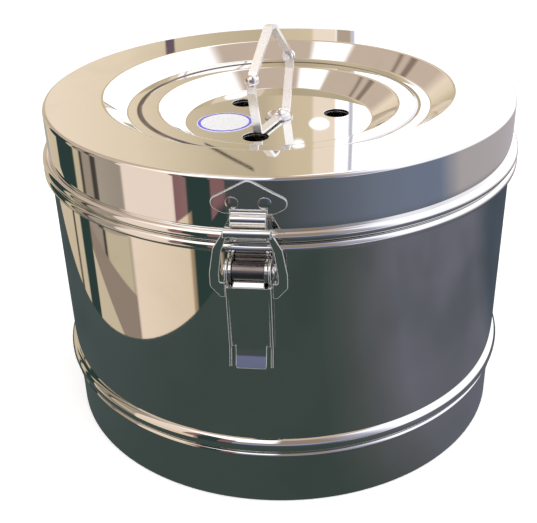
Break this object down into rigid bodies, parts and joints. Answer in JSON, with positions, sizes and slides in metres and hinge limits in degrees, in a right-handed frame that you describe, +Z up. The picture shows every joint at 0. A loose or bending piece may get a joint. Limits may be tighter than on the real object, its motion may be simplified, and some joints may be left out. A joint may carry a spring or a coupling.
{
  "type": "sterilization drum",
  "caption": "Round polished steel sterilization drum with a hinged stepped lid, a front toggle latch, turning vent shutters and a folding lifting bail.",
  "frame": {"origin": "drum axis at the foot ring's lower edge", "axes": "+Z up along the drum's axis, -Y towards the latch, +Y towards the lid's hinge"},
  "size_m": [0.2608, 0.2777, 0.2192],
  "materials": {
    "polished_steel": "mirror-polished stainless sheet",
    "fitting_steel": "polished stainless rivets, pins and fittings",
    "satin_steel": "satin stainless sheet, fine round brushing",
    "label": "white gloss label with a blue border, no print"
  },
  "bodies": {
    "drum": {"body_shell": "polished_steel", "foot_ring": "polished_steel", "bottom_pan": "satin_steel", "bottom_vent_stop": "satin_steel", "latch_base": "fitting_steel", "latch_base_rivets": "fitting_steel", "latch_pivot_pin": "fitting_steel", "latch_roller": "fitting_steel", "hinge_body_leaf": "fitting_steel", "hinge_body_rivets": "fitting_steel", "hinge_pin": "fitting_steel"},
    "lid": {"lid_shell": "polished_steel", "lid_vent_stop": "satin_steel", "lid_label": "label", "latch_keeper": "polished_steel", "latch_keeper_rivets": "fitting_steel", "hinge_lid_leaf": "fitting_steel", "hinge_lid_rivets": "fitting_steel"},
    "vent_turner": {"handle_bracket": "polished_steel", "handle_rivets": "fitting_steel", "handle_washer": "fitting_steel", "vent_bolt": "fitting_steel", "vent_shutter": "satin_steel", "vent_spring_washer": "fitting_steel", "vent_nut": "fitting_steel"},
    "bail": {"handle_bail": "polished_steel"},
    "lever": {"latch_lever": "polished_steel", "latch_link_pins": "fitting_steel"},
    "link": {"latch_link": "polished_steel"},
    "bottom_vent": {"bottom_vent_shutter": "satin_steel", "bottom_vent_pivot": "fitting_steel", "bottom_vent_washer": "fitting_steel"}
  },
  "joints": [
    {"name": "lid_hinge", "type": "hinge", "parent": "drum", "child": "lid", "pos_m": [0, 0.1356, 0.1527], "axis": [-1, 0, 0], "range_deg": [0, 105]},
    {"name": "latch_lever", "type": "hinge", "parent": "drum", "child": "lever", "pos_m": [0, -0.1332, 0.1413], "axis": [-1, 0, 0], "range_deg": [0, 135]},
    {"name": "latch_link", "type": "hinge", "parent": "lever", "child": "link", "pos_m": [0, -0.1319, 0.1323], "axis": [-1, 0, 0], "range_deg": [-155.5, 0]},
    {"name": "lid_vent_turn", "type": "hinge", "parent": "lid", "child": "vent_turner", "pos_m": [0, 0, 0.1651], "axis": [0, 0, 1], "range_deg": [0, 60]},
    {"name": "bail_fold", "type": "hinge", "parent": "vent_turner", "child": "bail", "pos_m": [-0.00212, -0.01235, 0.1965], "axis": [0.309, 0.9511, 0], "range_deg": [-100, 100]},
    {"name": "bottom_vent_turn", "type": "hinge", "parent": "drum", "child": "bottom_vent", "pos_m": [0, 0, 0.0355], "axis": [0, 0, 1], "range_deg": [0, 60]}
  ],
  "couplings": [
    {"joint": "latch_link", "follows": "latch_lever", "ratio": -1.15}
  ]
}
